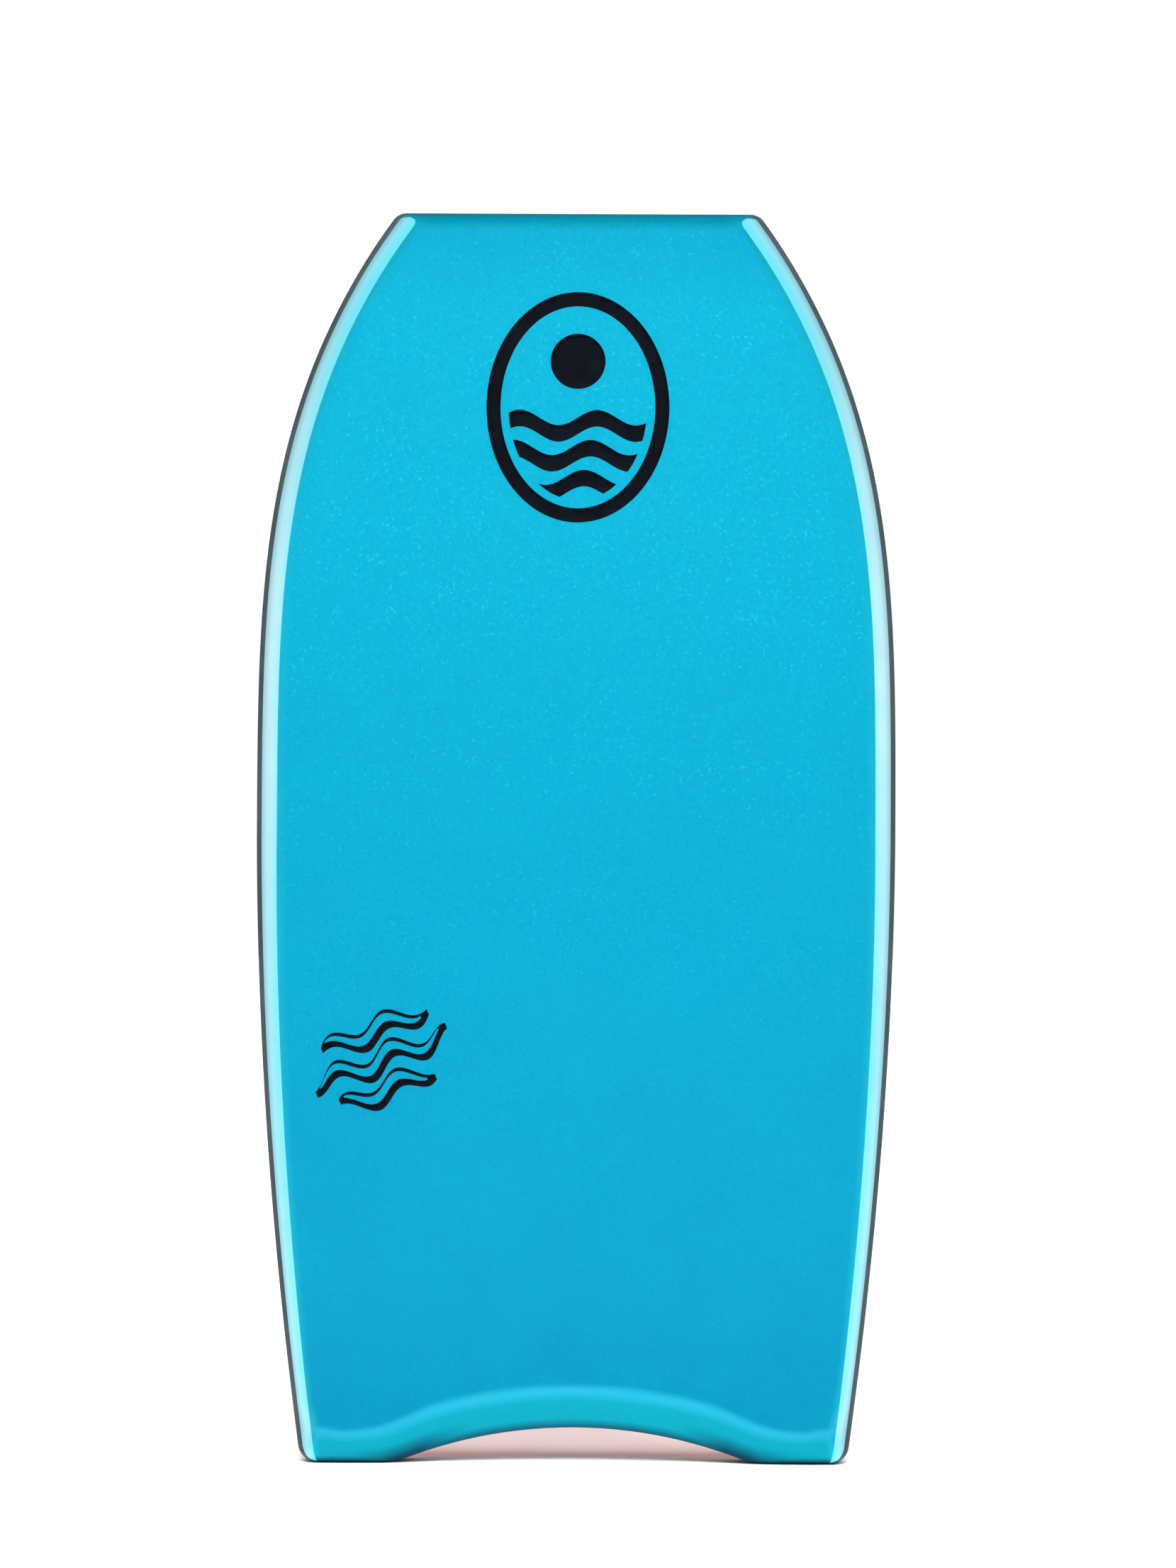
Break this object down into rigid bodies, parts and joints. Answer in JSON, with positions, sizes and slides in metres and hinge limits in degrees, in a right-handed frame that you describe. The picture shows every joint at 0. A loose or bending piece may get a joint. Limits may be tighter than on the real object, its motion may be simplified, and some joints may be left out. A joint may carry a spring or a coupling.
{
  "type": "bodyboard",
  "caption": "Foam bodyboard with a flat nose, crescent tail, pale bevelled chines, dark rail strips and a smooth coral underside, standing on its tail.",
  "frame": {"origin": "on the floor under the middle of the standing board", "axes": "+Z from tail to nose, -Y out of the deck, +X to the right as the deck is seen"},
  "size_m": [0.547, 0.0662, 1.067],
  "materials": {
    "core_foam": "matt closed-cell foam",
    "carbon": "smooth moulded tube",
    "cap_plastic": "moulded",
    "mesh_plastic": "woven plastic mesh",
    "slick": "smooth semi-gloss plastic skin",
    "deck_foam": "finely embossed foam skin",
    "chine_foam": "smooth satin foam strip",
    "rail_foam": "smooth satin foam strip",
    "print": "printed ink"
  },
  "bodies": {
    "root": {"foam_core": "core_foam", "stringer_tube": "carbon", "stringer_nose_cap": "cap_plastic", "stringer_tail_cap": "cap_plastic", "stringer_plug": "core_foam", "bottom_mesh": "mesh_plastic", "slick_backing": "core_foam", "slick": "slick", "deck_skin": "deck_foam", "left_chine": "chine_foam", "right_chine": "chine_foam", "left_rail": "rail_foam", "right_rail": "rail_foam", "nose_bumper": "rail_foam", "tail_bumper": "rail_foam", "deck_emblem": "print", "side_graphic": "print"}
  },
  "joints": []
}
